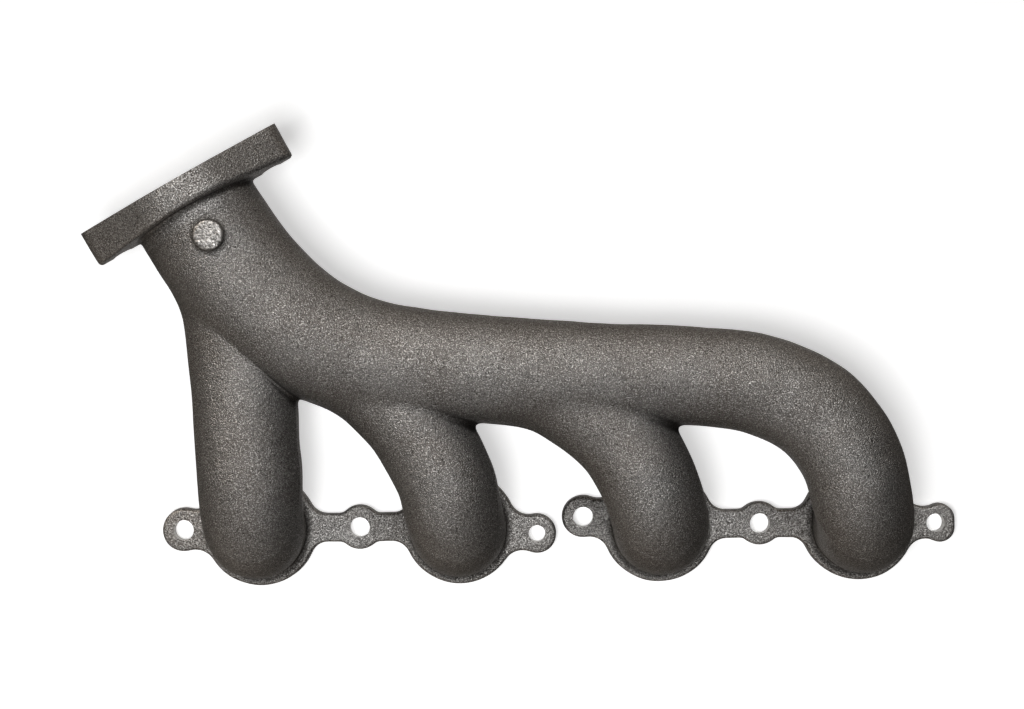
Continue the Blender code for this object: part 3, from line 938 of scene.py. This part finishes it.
def cast_iron(finish):
    """Sand-cast, shot-blasted iron: bright grains, dark pits, brown and grey stains, and painted shade
    that darkens the creases.
    """
    graph = Graph(finish.name)
    place = graph.node("TexCoord").outputs["Object"]
    grain = graph.noise(place, finish.grain_size, detail=1, roughness=0.5)
    pits = graph.noise(place, finish.grain_size * PIT_SIZE, detail=1, roughness=0.5)
    lumps = graph.noise(place, LUMP_SIZE, detail=2)
    stain = graph.noise(place, STAIN_SIZE, detail=3, roughness=0.6)
    crease_shade = graph.attribute("crease_shade")
    edge = graph.attribute("edge")
    tone = graph.mix(graph.remap(stain, 0.35, 0.65), IRON_BROWN, IRON_GREY)
    tone = graph.mix(graph.remap(pits, 0.44, 0.3, 0.0, 0.7), tone, IRON_PIT_AND_SHADE)
    fleck = graph.remap(grain, finish.fleck_start, 0.74)
    tone = graph.mix(graph.maths("MULTIPLY", fleck, finish.fleck_share), tone, IRON_FLECK)
    tone = graph.mix(graph.remap(edge, 0.4, 0.9, 0.0, 0.3), tone, IRON_FLECK)
    # Painted shade: the deeper a point lies in creases, the darker its colour.
    tone = graph.mix(graph.remap(crease_shade, 0.1, 0.42, 0.0, 0.92), tone, IRON_PIT_AND_SHADE)
    gloss = graph.remap(stain, 0.3, 0.7, 0.6, 0.52)
    roughness = graph.maths("SUBTRACT", gloss, graph.maths("MULTIPLY", fleck, 0.14))
    normal = graph.bump(lumps, LUMP_DEPTH)
    normal = graph.bump(pits, finish.pit_depth, normal)
    normal = graph.bump(grain, finish.grain_depth, normal)
    return graph.finish(Base_Color=tone, Metallic=0.9, Roughness=roughness, Normal=normal)


def machined_iron():
    """Milled iron: bright, with the fine arcs that the cutter left."""
    graph = Graph("machined_iron")
    place = graph.node("TexCoord").outputs["Object"]
    shifted = graph.node("Mapping", {"Vector": place, "Location": (0.0, 0.32, 0.0)}).outputs[0]
    arcs = graph.node(
        "TexWave",
        {"Vector": shifted, "Scale": 180.0, "Distortion": 0.6, "Detail": 2.0},
        wave_type="RINGS",
        rings_direction="SPHERICAL",
    ).outputs["Fac"]
    grain = graph.noise(place, 0.0005, detail=3)
    stain = graph.noise(place, 0.03, detail=4, roughness=0.6)
    tone = graph.mix(stain, MILLED_DARK, MILLED_BRIGHT)
    normal = graph.bump(arcs, 0.00003)
    normal = graph.bump(grain, 0.00002, normal)
    roughness = graph.remap(arcs, 0, 1, 0.32, 0.42)
    return graph.finish(Base_Color=tone, Metallic=0.6, Roughness=roughness, Normal=normal)


def floor_paint():
    """A smooth white table with the faintest unevenness, which glows so that its shadows stay pale."""
    graph = Graph("floor_paint")
    place = graph.node("TexCoord").outputs["Object"]
    cloud = graph.noise(place, 0.2, detail=2)
    tone = graph.mix(cloud, TABLE_DARK, TABLE_LIGHT)
    return graph.finish(
        Base_Color=tone,
        Roughness=0.8,
        Emission_Color=WHITE,
        Emission_Strength=FLOOR_GLOW,
    )


# ---------------------------------------------------------------- floor, light and camera


def floor_profile():
    """The floor's radius and height from its middle to the backdrop's top."""
    bend = BACKDROP_RADIUS - FLOOR_RADIUS
    sweep = [math.radians(angle) for angle in range(0, 91, FLOOR_SWEEP_STEP)]
    curve = [
        (FLOOR_RADIUS + bend * math.sin(a), FLOOR_LEVEL + bend * (1 - math.cos(a))) for a in sweep
    ]
    return [(0.0, FLOOR_LEVEL), *curve, (BACKDROP_RADIUS, BACKDROP_RADIUS)]


def floor_mesh():
    """The profile turned round a full circle."""
    shape = bmesh.new()
    points = [shape.verts.new((radius, 0, height)) for radius, height in floor_profile()]
    lines = [shape.edges.new(pair) for pair in zip(points, points[1:])]
    bmesh.ops.spin(
        shape,
        geom=points + lines,
        cent=(0, 0, 0),
        axis=UP,
        angle=math.tau,
        steps=FLOOR_SIDES,
        use_merge=True,
    )
    bmesh.ops.remove_doubles(shape, verts=shape.verts, dist=MERGE_DISTANCE)
    mesh = bpy.data.meshes.new("floor")
    shape.to_mesh(mesh)
    shape.free()
    mesh.shade_smooth()
    return mesh


def build_floor():
    """A round table top that sweeps up into a backdrop, and doesn't tint or shade the casting."""
    floor = add_object("floor", floor_mesh())
    floor.data.materials.append(floor_paint())
    floor.visible_diffuse = False
    floor.visible_glossy = False
    floor.visible_shadow = False
    return floor


def add_softbox(name, tilt, direction, width, watts, tint, receivers):
    """A square softbox that looks at the casting and lights only its receivers."""
    light = bpy.data.lights.new(name, "AREA")
    light.shape = "SQUARE"
    light.size = width
    light.energy = watts
    light.color = tint
    tilt, direction = math.radians(tilt), math.radians(direction)
    flat = Vector((math.cos(direction), math.sin(direction), 0))
    towards = flat * math.sin(tilt) + UP * math.cos(tilt)
    obj = add_object(name, light)
    obj.location = LIGHT_TARGET + towards * LIGHT_DISTANCE
    obj.rotation_euler = towards.to_track_quat("Z", "Y").to_euler()
    obj.light_linking.receiver_collection = receivers


def collection_of(name, objects):
    group = bpy.data.collections.new(name)
    for obj in objects:
        group.objects.link(obj)
    return group


def build_lights(castings, floor):
    world = bpy.data.worlds.new("studio")
    world.use_nodes = True
    background = world.node_tree.nodes["Background"]
    background.inputs["Color"].default_value = WORLD_COLOUR
    background.inputs["Strength"].default_value = 1.0
    bpy.context.scene.world = world
    for lights, objects in ((CASTING_LIGHTS, castings), (FLOOR_LIGHTS, [floor])):
        receivers = collection_of("lit_by_" + lights[0][0], objects)
        for light in lights:
            add_softbox(*light, receivers)


def build_camera():
    """Straight above the casting, turned very slightly, as the photographer stood."""
    data = bpy.data.cameras.new("camera")
    data.sensor_width = 36
    data.lens = CAMERA_LENS
    data.clip_end = 20
    camera = add_object("camera", data)
    camera.location = CAMERA_PLACE
    camera.rotation_euler = (0, 0, -CAMERA_TURN)
    bpy.context.scene.camera = camera


# ---------------------------------------------------------------- the scene

# The record's material slot and the cast finish of the pieces that aren't plain skin, whose extra bright
# flecks paint a highlight on their flat faces.
SLOTS = {
    "head_flange_front": ("iron_flange", FLANGE),
    "head_flange_rear": ("iron_flange", FLANGE),
    "outlet_flange": ("iron_flange", FLANGE),
    "sensor_boss": ("iron_boss", BOSS),
}


def dress(sections):
    """Gives the flanges and the boss their own cast finish: a coarser grain, and more bright flecks that
    paint a highlight on their flat faces.
    """
    finishes = {finish: cast_iron(finish) for finish in (FLANGE, BOSS)}
    for node, (_, finish) in SLOTS.items():
        sections[node].data.materials[CAST] = finishes[finish]


def show(sections):
    """Puts each section on the one body, in place of its CAD node."""
    for node, piece in sections.items():
        piece.name = f"cast_{node}"
        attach(piece, "root")
        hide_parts(node)


def build():
    sections = build_casting()
    dress(sections)
    show(sections)
    floor = build_floor()
    build_lights(sections.values(), floor)
    build_camera()
    bpy.context.scene.view_settings.view_transform = "Standard"


build()
